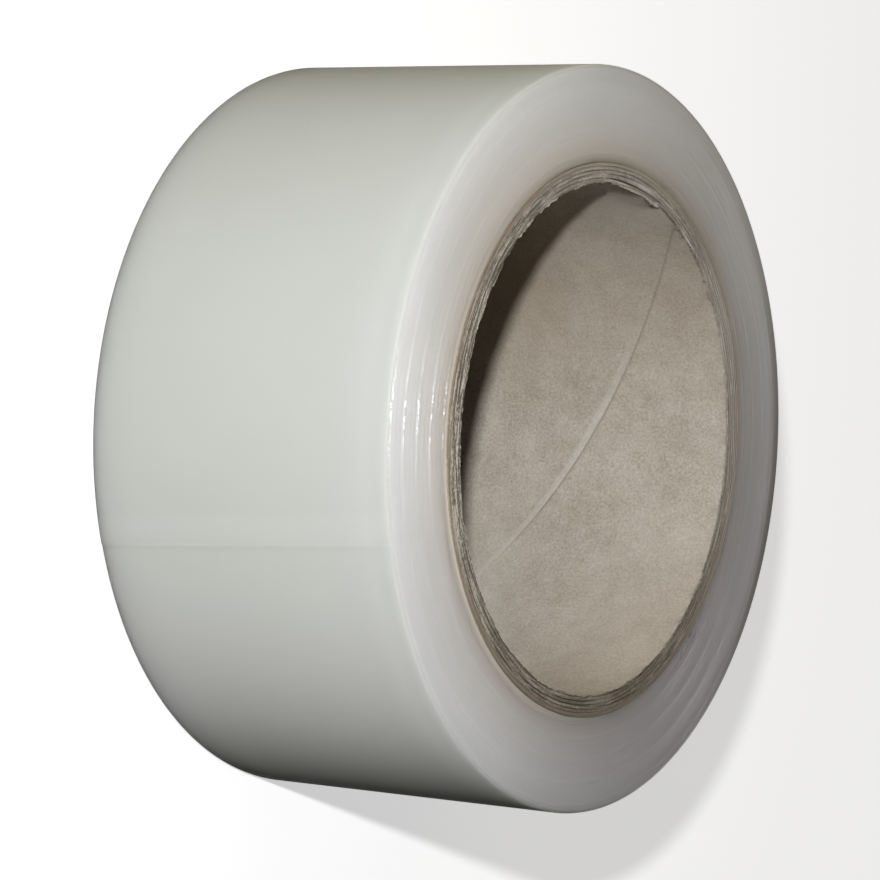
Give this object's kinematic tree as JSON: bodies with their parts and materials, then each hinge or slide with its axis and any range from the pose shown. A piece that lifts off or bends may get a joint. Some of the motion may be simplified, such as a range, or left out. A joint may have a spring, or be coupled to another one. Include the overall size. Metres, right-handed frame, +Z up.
{
  "type": "roll of polyethylene tape",
  "caption": "Roll of translucent polyethylene tape wound on a paperboard core with an open bore, for sealing and protecting packs.",
  "frame": {"origin": "centre of the lower cut end of the core, on the roll's axis, at the surface that the roll stands on", "axes": "+Z up along the roll's axis; the free end of the film is near -Y, a little towards +X"},
  "size_m": [0.1107, 0.1108, 0.0522],
  "materials": {
    "paperboard": "matt grey-brown wound paperboard with cut ends",
    "film": "milky translucent film, satin on the outside, finely ridged on the wound ends"
  },
  "bodies": {
    "root": {"core": "paperboard", "tape": "film"}
  },
  "joints": []
}
